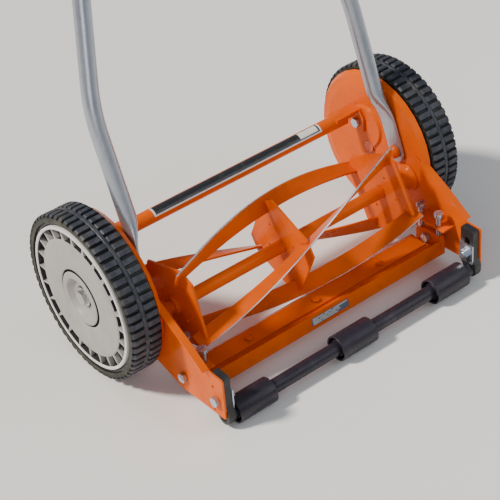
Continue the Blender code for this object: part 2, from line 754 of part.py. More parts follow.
def blade_angle(index, x):
    return BLADE_ANGLE_DEG + 360 / BLADE_COUNT * index + BLADE_TWIST_DEG_PER_MM * x / MM


def blade_strip(index, inner, outer, thickness):
    """A radial strip twisted along the reel: a screwed line given its thickness."""
    mesh = bpy.data.meshes.new("strip")
    mesh.from_pydata([(inner, 0, 0), ((inner + outer) / 2, 0, 0), (outer, 0, 0)], [(0, 1), (1, 2)], [])
    obj = new_object("strip", mesh)
    start_x, end_x = REEL_ENDS_X
    screw = obj.modifiers.new("twist", "SCREW")
    screw.angle = -math.radians(BLADE_TWIST_DEG_PER_MM) * (end_x - start_x) / MM
    screw.screw_offset = end_x - start_x
    screw.steps = screw.render_steps = 22
    screw.use_merge_vertices = False
    wall = obj.modifiers.new("thickness", "SOLIDIFY")
    wall.thickness = thickness
    wall.offset = 0
    start = math.radians(blade_angle(index, start_x))
    c, s = math.cos(start), math.sin(start)
    turn = Matrix(((0, 0, 1, 0), (-c, -s, 0, 0), (s, -c, 0, 0), (0, 0, 0, 1)))
    obj.matrix_world = Matrix.Translation((start_x, *REEL_YZ)) @ turn
    return bake(obj)


def facing_out(obj):
    shape = bmesh.new()
    shape.from_mesh(obj.data)
    bmesh.ops.recalc_face_normals(shape, faces=shape.faces)
    shape.to_mesh(obj.data)
    shape.free()
    return obj


def make_blades():
    for index in range(BLADE_COUNT):
        inner = REEL_RADIUS - BLADE_WIDTH
        blade = blade_strip(index, inner, REEL_RADIUS, BLADE_THICKNESS)
        finish(facing_out(blade), f"reel_blade_{index + 1}", BLADE_ORANGE, (0, *REEL_YZ))


def beside_blade(radius, angle_deg, side):
    """A point this far out along a blade's own direction and this far to its side."""
    along = Vector(on_reel(1, angle_deg)) - Vector(REEL_YZ)
    return tuple(Vector(REEL_YZ) + along * radius + Vector((along.y, -along.x)) * side)


def make_spider(place, x):
    """Stamped plate with a blade in a notch at each corner, welded to a collar on the shaft."""
    sheet = 3 * MM
    corner, ahead, behind = 60 * MM, 4.5 * MM, 17.5 * MM
    floor = REEL_RADIUS - BLADE_WIDTH - GAP
    twist = sheet * math.radians(BLADE_TWIST_DEG_PER_MM) / MM * REEL_RADIUS / 2
    half_notch = BLADE_THICKNESS / 2 + GAP + twist
    outline = []
    for index in range(BLADE_COUNT):
        base = blade_angle(index, x + sheet / 2)
        for radius, side in ((corner, -behind), (corner, -half_notch), (floor, -half_notch),
                             (floor, half_notch), (corner, half_notch), (corner, ahead)):
            outline.append(beside_blade(radius, base, side))
    bore = REEL_SHAFT_RADIUS + GAP
    holes = [circle(REEL_YZ, bore, 16)]
    for index in range(BLADE_COUNT):
        radius, side = ((29 * MM, 7 * MM), (25 * MM, -3 * MM))[index % 2]
        holes.append(circle(beside_blade(radius, blade_angle(index, x), side), 1.8 * MM, 10))
    plate = extruded(x, x + sheet, outline, *holes)
    x0, x1 = (x - 6 * MM, x + 1 * MM) if place == "left" else (x + 2 * MM, x + 11 * MM)
    collar = turned([(x1, bore), (x1, 12 * MM), (x0, 12 * MM), (x0, bore)], REEL_YZ, 16, closed=True)
    finish(join(plate, collar), "reel_spider_" + place, ORANGE, (0, *REEL_YZ))


def make_reel():
    end = 236 * MM
    shaft = turned([
        (end, 0),
        (end, 10.5 * MM),
        (end - 2.4 * MM, 10.5 * MM),
        (end - 2.4 * MM, AXLE_RADIUS),
        (182 * MM, AXLE_RADIUS),
        (182 * MM, REEL_SHAFT_RADIUS),
        (-182 * MM, REEL_SHAFT_RADIUS),
        (-182 * MM, AXLE_RADIUS),
        (-end + 2.4 * MM, AXLE_RADIUS),
        (-end + 2.4 * MM, 10.5 * MM),
        (-end, 10.5 * MM),
        (-end, 0),
    ], REEL_YZ, 16)
    finish(shaft, "reel_shaft", ORANGE, (0, *REEL_YZ))
    for place, x in SPIDER_X.items():
        make_spider(place, x)
    make_blades()


# ---- handle ----

def handle_point(x, distance):
    return (x, *along_handle(distance))


def make_handle_arms():
    """The tube of each side: a flattened drilled end on the stud, a straight run, then a bend inwards."""
    path = [
        handle_point(ARM_X, 85 * MM),
        handle_point(ARM_X, ARM_BEND - 12 * MM),
        handle_point(ARM_X - 0.8 * MM, ARM_BEND),
        handle_point(ARM_X - 4 * MM, ARM_BEND + 14 * MM),
        handle_point(ARM_TOP_X + 4 * MM, ARM_JOIN - 18 * MM),
        handle_point(ARM_TOP_X + 0.8 * MM, ARM_JOIN - 2 * MM),
        handle_point(ARM_TOP_X, ARM_JOIN + 12 * MM),
        handle_point(ARM_TOP_X, ARM_TOP),
    ]
    arm = tube(path, ARM_RADIUS, ARM_WALL)
    lug_x = (198 * MM, 201.4 * MM)
    lug = extruded(*lug_x, [
        along_handle(44 * MM, -13 * MM),
        along_handle(-2 * MM, -14 * MM),
        along_handle(-10 * MM, -11 * MM),
        along_handle(-15 * MM, -4 * MM),
        along_handle(-15 * MM, 4 * MM),
        along_handle(-10 * MM, 11 * MM),
        along_handle(-2 * MM, 14 * MM),
        along_handle(44 * MM, 13 * MM),
    ])
    flattened = loft([
        (handle_point(ARM_X, 92 * MM), ARM_RADIUS - 0.6 * MM, ARM_RADIUS - 0.6 * MM),
        (handle_point(ARM_X, 84 * MM), ARM_RADIUS + 0.15 * MM, ARM_RADIUS + 0.15 * MM),
        (handle_point(ARM_X + 1.5 * MM, 74 * MM), 9 * MM, 11.2 * MM),
        (handle_point(ARM_X + 5 * MM, 62 * MM), 5.4 * MM, 12.4 * MM),
        (handle_point(ARM_X + 7.8 * MM, 52 * MM), 2.8 * MM, 13 * MM),
        (handle_point(199.7 * MM, 42 * MM), 1.6 * MM, 13 * MM),
        (handle_point(199.7 * MM, 36 * MM), 1.5 * MM, 12.4 * MM),
    ])
    arm = join(arm, flattened, lug)
    arm = cut(arm, rod(190 * MM, 209 * MM, HANDLE_PIVOT, STUD_HOLE, 16),
              rod(196 * MM, 209 * MM, along_handle(-8.6 * MM), 1.6 * MM, 10))
    for distance in HANDLE_BOLTS:
        arm = cut(arm, rod(-9 * MM, 60 * MM, along_handle(distance), HANDLE_HOLE, 12))
    finish_pair(arm, "handle_arm", HANDLE_TUBE, (0, *HANDLE_PIVOT))


def loft(sections, sides=12):
    """A solid through ellipses square to the handle: each is a centre, a half width in X and one across."""
    lean = math.radians(HANDLE_LEAN_DEG)
    across = Vector((0, math.cos(lean), -math.sin(lean)))
    rings = []
    for centre, half_x, half_across in sections:
        ring = []
        for i in range(sides):
            angle = 2 * math.pi * i / sides
            offset = Vector((half_x * math.cos(angle), 0, 0)) + across * (half_across * math.sin(angle))
            ring.append(Vector(centre) + offset)
        rings.append(ring)
    return skin(rings)


def make_handle_top():
    """Tee: a stem between the arms, a grip bar across it, two foam grips and two through bolts."""
    centre = along_handle(GRIP_BAR_HEIGHT)
    stem = tube([handle_point(0, ARM_JOIN - 6 * MM),
                 handle_point(0, GRIP_BAR_HEIGHT - STEM_RADIUS - 0.6 * MM)], STEM_RADIUS, ARM_WALL)
    for distance in HANDLE_BOLTS:
        stem = cut(stem, rod(-30 * MM, 30 * MM, along_handle(distance), HANDLE_HOLE, 12))
    finish(stem, "handle_stem", HANDLE_TUBE, (0, *HANDLE_PIVOT))

    bar = tube([(-GRIP_BAR_HALF_LENGTH, *centre), (GRIP_BAR_HALF_LENGTH, *centre)], STEM_RADIUS, ARM_WALL)
    finish(bar, "handle_grip_bar", HANDLE_TUBE, (0, *centre))

    inner, outer = 60 * MM, GRIP_BAR_HALF_LENGTH + 4 * MM
    bore, skin = STEM_RADIUS + GAP, 16.5 * MM
    grip = turned([
        (outer, 0),
        (outer, skin - 3 * MM),
        (outer - 3 * MM, skin),
        (inner + 3 * MM, skin),
        (inner, skin - 2 * MM),
        (inner, bore),
        (GRIP_BAR_HALF_LENGTH + GAP, bore),
        (GRIP_BAR_HALF_LENGTH + GAP, 0),
    ], centre, 20)
    finish_pair(grip, "foam_grip", FOAM, (0, *centre))

    for place, distance in zip(("lower", "upper"), HANDLE_BOLTS):
        reach = ARM_TOP_X + ARM_RADIUS + GAP
        tie = bolt(-reach - 4 * MM, reach + 7.5 * MM, along_handle(distance),
                   HANDLE_BOLT, 6 * MM, 4 * MM, 5 * MM, 2 * MM)
        finish(tie, f"handle_bolt_{place}", ZINC, (0, *along_handle(distance)))


def main():
    make_tyre()
    make_wheel_rim()
    make_hubcap()
    make_axle()
    make_pinion()
    make_side_plate()
    make_tie_bar()
    make_reel_bearing()
    make_adjusting_screws()
    make_handle_stud()
    make_bed_knife()
    make_roller()
    make_height_brackets()
    make_reel()
    make_handle_arms()
    make_handle_top()
    for obj in PARTS.objects:
        obj.location.y -= BOX_CENTRE_Y


PARTS = clear_scene()
main()
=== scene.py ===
import json
import math

import bmesh
import bpy
from mathutils import Matrix, Vector


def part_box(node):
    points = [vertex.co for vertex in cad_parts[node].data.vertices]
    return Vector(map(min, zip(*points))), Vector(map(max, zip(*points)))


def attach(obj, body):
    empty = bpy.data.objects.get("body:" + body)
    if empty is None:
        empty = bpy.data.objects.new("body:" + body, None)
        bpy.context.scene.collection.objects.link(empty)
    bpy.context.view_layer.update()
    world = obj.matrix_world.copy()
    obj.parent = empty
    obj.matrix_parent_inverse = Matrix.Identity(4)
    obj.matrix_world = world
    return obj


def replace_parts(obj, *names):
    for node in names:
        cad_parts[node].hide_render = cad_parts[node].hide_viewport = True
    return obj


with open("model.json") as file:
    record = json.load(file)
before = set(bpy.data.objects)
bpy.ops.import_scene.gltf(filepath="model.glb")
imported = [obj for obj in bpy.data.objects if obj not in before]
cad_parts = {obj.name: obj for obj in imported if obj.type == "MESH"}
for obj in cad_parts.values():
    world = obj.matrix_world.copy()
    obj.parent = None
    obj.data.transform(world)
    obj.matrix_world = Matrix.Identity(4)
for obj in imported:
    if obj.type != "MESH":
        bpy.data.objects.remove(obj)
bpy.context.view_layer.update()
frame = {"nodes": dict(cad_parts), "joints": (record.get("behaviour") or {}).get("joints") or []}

MM = 0.001
NODES = frame["nodes"]
JOINTS = {joint["name"]: joint for joint in frame["joints"]}


def box(node):
    low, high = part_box(node)
    return Vector(low), Vector(high)


def centre_yz(node):
    low, high = box(node)
    return ((low.y + high.y) / 2, (low.z + high.z) / 2)


SIDES = ("left", "right")
PLACES = ("left", "middle", "right")
BLADES = 4

# centres are (y, z), and the axes run along X
AXLE = centre_yz("right_tyre")
REEL = tuple(JOINTS["reel_spin"]["pos_m"][1:])
PIVOT = Vector(JOINTS["handle_fold"]["pos_m"])

TYRE_RADIUS = (box("right_tyre")[1].z - box("right_tyre")[0].z) / 2
LUGS = 60
LUG_HEIGHT = 3.2 * MM
WINDOWS = 24

# the handle leans towards +Y from its pivot, and lengths run up it from there
LEAN = math.radians(20)
ARM_X = 191 * MM
ARM_FOOT_X = 199.7 * MM
ARM_RADIUS = 10.5 * MM
ARM_STRAIGHT = 84 * MM
ARM_BEND = 215 * MM
ARM_BEND_RADIUS = 230 * MM
ARM_JOIN = 840 * MM
ARM_TOP = 905 * MM
ARM_TOP_X = 24.5 * MM
TUBE_WALL = 1.0 * MM
TUBE_OPENING = 20 * MM

FILM_THICKNESS = 0.12 * MM
TIE_BAR_RADIUS = 9.5 * MM


# ---- materials ----

class Surface:
    """A Principled material, with short calls for the texture nodes that drive it.

    Textures are placed by Object coordinates: metres in the frame for CAD nodes and new pieces alike.
    """

    def __init__(self, name, colour, roughness, metallic=0.0, **uniform):
        self.material = bpy.data.materials.new(name)
        self.material.use_nodes = True
        self.tree = self.material.node_tree
        self.shader = self.tree.nodes["Principled BSDF"]
        self.put("Base Color", (*colour, 1))
        self.put("Roughness", roughness)
        self.put("Metallic", metallic)
        for socket, value in uniform.items():
            self.put(socket.replace("_", " ").title().replace("Ior", "IOR"), value)
        self.place = self.node("ShaderNodeTexCoord").outputs["Object"]

    def node(self, kind, **settings):
        made = self.tree.nodes.new(kind)
        for name, value in settings.items():
            setattr(made, name, value)
        return made

    def feed(self, socket, value):
        if isinstance(value, bpy.types.NodeSocket):
            self.tree.links.new(value, socket)
        else:
            socket.default_value = value

    def put(self, name, value):
        self.feed(self.shader.inputs[name], value)

    def noise(self, scale, detail, stretch=(1, 1, 1)):
        mapping = self.node("ShaderNodeMapping")
        self.feed(mapping.inputs["Vector"], self.place)
        mapping.inputs["Scale"].default_value = stretch
        texture = self.node("ShaderNodeTexNoise")
        self.feed(texture.inputs["Vector"], mapping.outputs["Vector"])
        texture.inputs["Scale"].default_value = scale
        texture.inputs["Detail"].default_value = detail
        return texture.outputs["Fac"]

    def math(self, operation, a, b=0.0):
        made = self.node("ShaderNodeMath", operation=operation)
        self.feed(made.inputs[0], a)
        self.feed(made.inputs[1], b)
        return made.outputs[0]

    def between(self, value, low, high, start=0.0, end=1.0):
        """Maps low...high to start...end and holds it there outside."""
        made = self.node("ShaderNodeMapRange", interpolation_type="SMOOTHSTEP")
        self.feed(made.inputs["Value"], value)
        for socket, number in zip(("From Min", "From Max", "To Min", "To Max"), (low, high, start, end)):
            made.inputs[socket].default_value = number
        return made.outputs["Result"]

    def mix(self, factor, a, b):
        made = self.node("ShaderNodeMix", data_type="RGBA")
        self.feed(made.inputs["Factor"], factor)
        for socket, value in ((made.inputs[6], a), (made.inputs[7], b)):
            self.feed(socket, (*value, 1) if isinstance(value, tuple) else value)
        return made.outputs[2]

    def axis(self, name):
        split = self.node("ShaderNodeSeparateXYZ")
        self.feed(split.inputs[0], self.place)
        return split.outputs[name]

    def radius_from(self, centre):
        """Distance from a line along X through the (y, z) centre."""
        y = self.math("SUBTRACT", self.axis("Y"), centre[0])
        z = self.math("SUBTRACT", self.axis("Z"), centre[1])
        squares = self.math("ADD", self.math("MULTIPLY", y, y), self.math("MULTIPLY", z, z))
        return self.math("SQRT", squares)

    def edges(self, width):
        """1 along sharp outer edges and 0 on the flats."""
        rounded = self.node("ShaderNodeBevel", samples=4)
        rounded.inputs["Radius"].default_value = width
        true = self.node("ShaderNodeNewGeometry").outputs["Normal"]
        product = self.node("ShaderNodeVectorMath", operation="DOT_PRODUCT")
        self.feed(product.inputs[0], rounded.outputs["Normal"])
        self.feed(product.inputs[1], true)
        return self.between(product.outputs["Value"], 0.985, 0.90)

    def bump(self, *layers):
        """Each layer is a height, its strength and its depth in metres."""
        normal = None
        for height, strength, depth in layers:
            made = self.node("ShaderNodeBump")
            made.inputs["Strength"].default_value = strength
            made.inputs["Distance"].default_value = depth
            self.feed(made.inputs["Height"], height)
            if normal:
                self.feed(made.inputs["Normal"], normal)
            normal = made.outputs["Normal"]
        self.put("Normal", normal)


def orange_surface(name, colour, roughness, coat):
    """The shared start of the three orange paints."""
    return Surface(name, colour, roughness, coat_weight=coat, coat_roughness=0.08, specular_ior_level=0.16)


def orange_paint(name):
    """Powder-coated orange: soft orange-peel, a few chips along edges, and soil low down."""
    s = orange_surface(name, (0.72, 0.105, 0.0), 0.38, 0.06)
    s.put("Specular Tint", (1.0, 0.62, 0.35, 1))
    cloud = s.between(s.noise(14, 4), 0.3, 0.7)
    tone = s.mix(cloud, (0.66, 0.092, 0.0), (0.78, 0.116, 0.0))
    chips = s.math("MULTIPLY", s.edges(1.0 * MM), s.between(s.noise(240, 5), 0.60, 0.68))
    chipped = s.mix(chips, tone, (0.30, 0.27, 0.25))
    near_ground = s.between(s.axis("Z"), 75 * MM, 10 * MM)
    soil = s.math("MULTIPLY", near_ground, s.between(s.noise(60, 6), 0.5, 0.75, 0, 0.28))
    s.put("Base Color", s.mix(soil, chipped, (0.22, 0.08, 0.02)))
    s.put("Roughness", s.between(s.noise(35, 5), 0.3, 0.7, 0.22, 0.40))
    s.bump((s.noise(420, 2), 0.12, 0.25 * MM), (s.noise(90, 3), 0.06, 0.5 * MM))
    return s.material


def blade_paint(name):
    """Orange paint ground away to bright steel along the reel's cutting edge, with grass stain above it."""
    s = orange_surface(name, (0.64, 0.090, 0.0), 0.36, 0.03)
    radius = s.radius_from(REEL)
    ragged = s.math("ADD", radius, s.between(s.noise(220, 5), 0.3, 0.7, -0.25 * MM, 0.25 * MM))
    land = 66.9 * MM
    ground = s.between(ragged, land, land + 0.3 * MM)
    tone = s.mix(s.between(s.noise(18, 5), 0.3, 0.7), (0.58, 0.080, 0.0), (0.70, 0.104, 0.0))
    near_edge = s.between(ragged, 58 * MM, 66 * MM)
    stain = s.math("MULTIPLY", near_edge, s.between(s.noise(50, 5), 0.45, 0.7, 0, 0.35))
    painted = s.mix(stain, tone, (0.24, 0.09, 0.02))
    steel = s.mix(s.noise(300, 4, (1, 8, 8)), (0.62, 0.62, 0.64), (0.90, 0.90, 0.92))
    s.put("Base Color", s.mix(ground, painted, steel))
    s.put("Metallic", ground)
    s.put("Roughness", s.between(s.noise(40, 5), 0.3, 0.7, 0.25, 0.42))
    s.bump((s.noise(420, 2), 0.12, 0.25 * MM), (s.noise(700, 2, (6, 1, 1)), 0.05, 0.1 * MM))
    return s.material


def knife_paint(name):
    """The bed knife: painted, with its front edge ground bare."""
    s = orange_surface(name, (0.64, 0.090, 0.0), 0.36, 0.03)
    edge_y = box("bed_knife")[1].y
    ragged = s.math("ADD", s.axis("Y"), s.between(s.noise(200, 5), 0.3, 0.7, -0.5 * MM, 0.5 * MM))
    ground = s.between(ragged, edge_y - 2.6 * MM, edge_y - 1.8 * MM)
    tone = s.mix(s.between(s.noise(18, 5), 0.3, 0.7), (0.54, 0.072, 0.0), (0.64, 0.094, 0.0))
    s.put("Base Color", s.mix(ground, tone, (0.7, 0.7, 0.72)))
    s.put("Metallic", ground)
    s.put("Roughness", s.between(s.noise(45, 5), 0.3, 0.7, 0.28, 0.45))
    s.bump((s.noise(420, 2), 0.12, 0.25 * MM))
    return s.material


def zinc(name):
    """Bright zinc plate: a blue tint that varies, a fine grain and dull patches."""
    s = Surface(name, (0.50, 0.56, 0.66), 0.30, 0.9)
    tint = s.mix(s.between(s.noise(60, 2), 0.3, 0.7), (0.46, 0.53, 0.64), (0.56, 0.60, 0.66))
    dull = s.between(s.noise(300, 5), 0.60, 0.80, 0, 0.35)
    s.put("Base Color", s.mix(dull, tint, (0.34, 0.33, 0.32)))
    s.put("Roughness", s.between(s.noise(120, 3), 0.3, 0.7, 0.20, 0.32))
    s.bump((s.noise(900, 2), 0.04, 0.06 * MM))
    return s.material


def zinc_stud(name):
    """The wheel's stud: bare zinc at its outer end, and painted with the plate up to there."""
    s = Surface(name, (0.72, 0.73, 0.75), 0.25, 1.0)
    reach = s.math("ABSOLUTE", s.axis("X"))
    paint_end = 203.4 * MM
    bare = s.between(reach, paint_end, paint_end + 0.2 * MM)
    tint = s.mix(s.between(s.noise(60, 2), 0.3, 0.7), (0.46, 0.48, 0.52), (0.56, 0.55, 0.52))
    s.put("Base Color", s.mix(bare, (0.68, 0.10, 0.0), tint))
    s.put("Metallic", bare)
    s.put("Roughness", s.between(s.noise(180, 4), 0.3, 0.7, 0.18, 0.36))
    s.bump((s.noise(900, 3), 0.10, 0.1 * MM))
    return s.material


def tube_paint(name):
    """Pale blue-grey satin paint on drawn tube, with faint lengthwise streaks."""
    s = Surface(name, (0.38, 0.41, 0.47), 0.3, 0.75, coat_weight=0.15, coat_roughness=0.12)
    streak = s.noise(260, 2, (1, 1, 0.03))
    tone = s.mix(s.between(streak, 0.2, 0.8), (0.36, 0.39, 0.45), (0.41, 0.44, 0.49))
    chips = s.math("MULTIPLY", s.edges(0.8 * MM), s.between(s.noise(260, 5), 0.6, 0.7))
    s.put("Base Color", s.mix(chips, tone, (0.25, 0.24, 0.23)))
    s.put("Roughness", s.between(s.noise(30, 2), 0.3, 0.7, 0.26, 0.33))
    s.bump((s.noise(700, 2), 0.03, 0.08 * MM))
    return s.material


def moulded_black(name, tone, light, low, high):
    """Moulded black plastic: a fine grain, dusty patches and rubbed edges. low and high are roughnesses."""
    s = Surface(name, tone, 0.42, specular_ior_level=0.36)
    dust = s.between(s.noise(38, 6), 0.48, 0.72, 0, 0.7)
    rubbed = s.math("MULTIPLY", s.edges(1.2 * MM), s.between(s.noise(150, 4), 0.4, 0.6, 0, 0.8))
    s.put("Base Color", s.mix(rubbed, s.mix(dust, tone, light), (0.10, 0.10, 0.10)))
    s.put("Roughness", s.between(s.noise(90, 5), 0.3, 0.7, low, high))
    s.bump((s.noise(1400, 2), 0.18, 0.08 * MM), (s.noise(60, 3), 0.05, 0.6 * MM))
    return s.material


def tyre_rubber(name):
    """Moulded tread: blue-black lug tops and middle rib, lighter partly for wear and partly as a painted
    highlight, grooves painted near-black as shade, and an olive-black sidewall.
    """
    s = Surface(name, (0.03, 0.03, 0.03), 0.6, specular_ior_level=0.4)
    radius = s.radius_from(AXLE)
    lug = s.between(radius, TYRE_RADIUS - LUG_HEIGHT + 0.6 * MM, TYRE_RADIUS - LUG_HEIGHT + 1.6 * MM)
    wall = s.between(radius, TYRE_RADIUS - LUG_HEIGHT - 0.4 * MM, TYRE_RADIUS - LUG_HEIGHT - 1.4 * MM)
    # painted shade: the groove floors near-black, blending out to the olive-black sidewall
    groove = s.mix(wall, (0.006, 0.006, 0.007), (0.020, 0.021, 0.015))
    # lug tops and the middle rib: lighter blue-black, partly wear and partly a painted highlight
    wear_and_painted_highlight = s.mix(s.between(s.noise(110, 5), 0.35, 0.7), (0.026, 0.029, 0.040), (0.055, 0.060, 0.075))
    dusty = s.math("MULTIPLY", s.between(s.noise(26, 6), 0.52, 0.75), 0.35)
    s.put("Base Color", s.mix(dusty, s.mix(lug, groove, wear_and_painted_highlight), (0.11, 0.095, 0.07)))
    s.put("Roughness", s.between(s.noise(80, 5), 0.3, 0.7, 0.42, 0.62))
    s.bump((s.noise(900, 3), 0.22, 0.12 * MM), (s.noise(120, 3), 0.10, 0.4 * MM))
    return s.material


def hub_plastic(name, tone, shade):
    """Grey moulded plastic with a faint grain and some dust in the corners."""
    s = Surface(name, tone, 0.42, specular_ior_level=0.45)
    dust = s.between(s.noise(34, 6), 0.46, 0.74, 0, 0.55)
    s.put("Base Color", s.mix(dust, tone, shade))
    s.put("Roughness", s.between(s.noise(60, 5), 0.3, 0.7, 0.34, 0.52))
    s.bump((s.noise(1100, 2), 0.15, 0.08 * MM))
    return s.material


def oiled_steel(name):
    """Dark cut steel with an oily sheen that varies."""
    s = Surface(name, (0.20, 0.19, 0.18), 0.35, 1.0)
    s.put("Base Color", s.mix(s.between(s.noise(90, 5), 0.35, 0.65), (0.14, 0.13, 0.12), (0.32, 0.31, 0.30)))
    s.put("Roughness", s.between(s.noise(200, 4), 0.3, 0.7, 0.25, 0.5))
    s.bump((s.noise(1300, 3), 0.2, 0.1 * MM))
    return s.material


def foam(name):
    """Closed-cell foam: dull and slightly furry, with fine open pores."""
    s = Surface(name, (0.014, 0.014, 0.015), 0.85, sheen_weight=0.03, sheen_roughness=0.5)
    cells = s.node("ShaderNodeTexVoronoi")
    s.feed(cells.inputs["Vector"], s.place)
    cells.inputs["Scale"].default_value = 900
    faded = s.between(s.noise(45, 5), 0.4, 0.7)
    s.put("Base Color", s.mix(faded, (0.010, 0.010, 0.011), (0.022, 0.022, 0.023)))
    s.put("Roughness", s.between(cells.outputs["Distance"], 0.0, 0.7, 0.78, 0.95))
    s.bump((cells.outputs["Distance"], 0.5, 0.25 * MM))
    return s.material


def printed(name, tone, shade):
    """A printed vinyl film with slight scuffs."""
    s = Surface(name, tone, 0.35, coat_weight=0.3, coat_roughness=0.15)
    s.put("Base Color", s.mix(s.between(s.noise(160, 6), 0.52, 0.72, 0, 0.5), tone, shade))
    s.put("Roughness", s.between(s.noise(60, 4), 0.3, 0.7, 0.27, 0.47))
    s.bump((s.noise(300, 2), 0.06, 0.1 * MM))
    return s.material


ORANGE = orange_paint("orange_paint_fine")
BLADE = blade_paint("blade_paint_fine")
KNIFE = knife_paint("knife_paint_fine")
ZINC = zinc("zinc_fine")
STUD_ZINC = zinc_stud("zinc_stud_fine")
TUBE = tube_paint("handle_tube_fine")
BLACK = moulded_black("black_plastic_fine", (0.020, 0.020, 0.022), (0.045, 0.044, 0.045), 0.32, 0.50)
ROLLER = moulded_black("roller_plastic_fine", (0.020, 0.016, 0.026), (0.042, 0.034, 0.048), 0.26, 0.44)
RUBBER = tyre_rubber("tyre_rubber_fine")
HUB = hub_plastic("hubcap_grey_fine", (0.38, 0.36, 0.34), (0.27, 0.25, 0.23))
HUB_RING = hub_plastic("hubcap_ring_fine", (0.72, 0.705, 0.69), (0.58, 0.56, 0.54))
# near-black painted shade for the floors of the hubcap's windows and its deep groove round the hub
HUB_PAINTED_SHADE = hub_plastic("hubcap_painted_shade_fine", (0.022, 0.021, 0.025), (0.040, 0.038, 0.038))
STEEL = oiled_steel("gear_steel_fine")
FOAM = foam("foam_fine")
PRINT_BLACK = printed("print_black", (0.012, 0.013, 0.016), (0.05, 0.05, 0.05))
PRINT_WHITE = printed("print_white", (0.80, 0.79, 0.76), (0.55, 0.53, 0.50))
PRINT_GREY = printed("print_grey", (0.12, 0.14, 0.20), (0.19, 0.20, 0.24))


# ---- mesh tools ----

def piece(name, vertices, faces, materials, body, sharp, indices=None):
    """A new visible piece, smooth but for edges sharper than the given angle, riding on its body.

    indices gives the material of each face, where there are several.
    """
    mesh = bpy.data.meshes.new(name)
    mesh.from_pydata([tuple(v) for v in vertices], [], faces)
    shape = bmesh.new()
    shape.from_mesh(mesh)
    bmesh.ops.remove_doubles(shape, verts=shape.verts, dist=1e-7)
    bmesh.ops.recalc_face_normals(shape, faces=shape.faces)
    shape.to_mesh(mesh)
    shape.free()
    for material in materials:
        mesh.materials.append(material)
    if indices:
        mesh.polygons.foreach_set("material_index", indices)
    mesh.shade_smooth()
    mesh.set_sharp_from_angle(angle=math.radians(sharp))
    obj = bpy.data.objects.new(name, mesh)
    bpy.context.scene.collection.objects.link(obj)
    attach(obj, body)
    return obj


def fillet(points, radius, steps, closed=False):
    """The polyline with each corner rounded to the radius, or less where its sides are short."""
    rounded = []
    count = len(points)
    for i, point in enumerate(points):
        if not closed and i in (0, count - 1):
            rounded.append(Vector(point))
            continue
        here = Vector(point)
        before, after = Vector(points[i - 1]) - here, Vector(points[(i + 1) % count]) - here
        turn = before.angle(after)
        reach = min(radius / math.tan(turn / 2), before.length * 0.45, after.length * 0.45)
        start, end = here + before.normalized() * reach, here + after.normalized() * reach
        for step in range(steps + 1):
            t = step / steps
            rounded.append(start * (1 - t) ** 2 + here * 2 * t * (1 - t) + end * t ** 2)
    return rounded


def round_x(x, centre, radius, angle):
    """The point at a radius and an angle, from +Y towards +Z, about a line along X."""
    return (x, centre[0] + radius * math.cos(angle), centre[1] + radius * math.sin(angle))


def next_ring(rings, vertices, count):
    """Adds the numbers of the next count vertices as a ring."""
    rings.append(list(range(len(vertices), len(vertices) + count)))


def caps(rings):
    """One flat face over each end of a row of rings."""
    return [tuple(rings[0][::-1]), tuple(rings[-1])]


def ring_faces(rings, closed_along=False):
    """Quads between neighbouring rings, each a list of vertex numbers."""
    faces = []
    pairs = list(zip(rings, rings[1:]))
    if closed_along:
        pairs.append((rings[-1], rings[0]))
    for lower, upper in pairs:
        count = len(lower)
        for i in range(count):
            j = (i + 1) % count
            faces.append((lower[i], lower[j], upper[j], upper[i]))
    return faces


def turned(name, profile, centre, materials, body, segments=96, closed=True, sharp=35):
    """A profile of (x, radius) points turned about a line along X: a closed loop, or open with flat ends."""
    vertices, rings = [], []
    for x, radius in profile:
        next_ring(rings, vertices, segments)
        for i in range(segments):
            vertices.append(round_x(x, centre, radius, 2 * math.pi * i / segments))
    faces = ring_faces(rings, closed)
    if not closed:
        faces += caps(rings)
    return piece(name, vertices, faces, materials, body, sharp)


def rounded_outline(outline, radius, steps, closed=False):
    """An (x, radius) outline with its corners rounded."""
    return [(p.x, p.y) for p in fillet([Vector(p) for p in outline], radius, steps, closed)]


def soften(node, width, segments):
    """Small rounded edges and clean shading on a CAD node, by modifiers alone."""
    obj = NODES[node]
    weld = obj.modifiers.new("weld", "WELD")
    weld.merge_threshold = 0.01 * MM
    flat = obj.modifiers.new("flat", "DECIMATE")
    flat.decimate_type = "DISSOLVE"
    flat.angle_limit = math.radians(0.5)
    if width:
        bevel = obj.modifiers.new("edges", "BEVEL")
        bevel.width = width
        bevel.segments = segments
        bevel.limit_method = "ANGLE"
        bevel.angle_limit = math.radians(38)
        bevel.use_clamp_overlap = True
    smooth = obj.modifiers.new("smooth", "NODES")
    smooth.node_group = SMOOTH_BY_ANGLE
    normals = obj.modifiers.new("normals", "WEIGHTED_NORMAL")
    normals.keep_sharp = True


def smooth_by_angle(limit):
    """A node group that shades every face smooth and keeps edges above the limit sharp."""
    group = bpy.data.node_groups.new("smooth_by_angle", "GeometryNodeTree")
    group.interface.new_socket("Geometry", in_out="INPUT", socket_type="NodeSocketGeometry")
    group.interface.new_socket("Geometry", in_out="OUTPUT", socket_type="NodeSocketGeometry")
    start, end = group.nodes.new("NodeGroupInput"), group.nodes.new("NodeGroupOutput")
    faces = group.nodes.new("GeometryNodeSetShadeSmooth")
    edges = group.nodes.new("GeometryNodeSetShadeSmooth")
    edges.domain = "EDGE"
    angle = group.nodes.new("GeometryNodeInputMeshEdgeAngle")
    compare = group.nodes.new("FunctionNodeCompare")
    compare.operation = "LESS_EQUAL"
    compare.inputs[1].default_value = limit
    group.links.new(angle.outputs["Unsigned Angle"], compare.inputs[0])
    group.links.new(start.outputs[0], faces.inputs["Geometry"])
    group.links.new(faces.outputs[0], edges.inputs["Geometry"])
    group.links.new(compare.outputs[0], edges.inputs["Shade Smooth"])
    group.links.new(edges.outputs[0], end.inputs[0])
    return group


SMOOTH_BY_ANGLE = smooth_by_angle(math.radians(34))


# ---- CAD nodes that stay ----

def dress(node, material, width, segments=2):
    """Gives a CAD node its finish, and edges rounded by the width."""
    obj = NODES[node]
    obj.data.materials.clear()
    obj.data.materials.append(material)
    soften(node, width, segments)


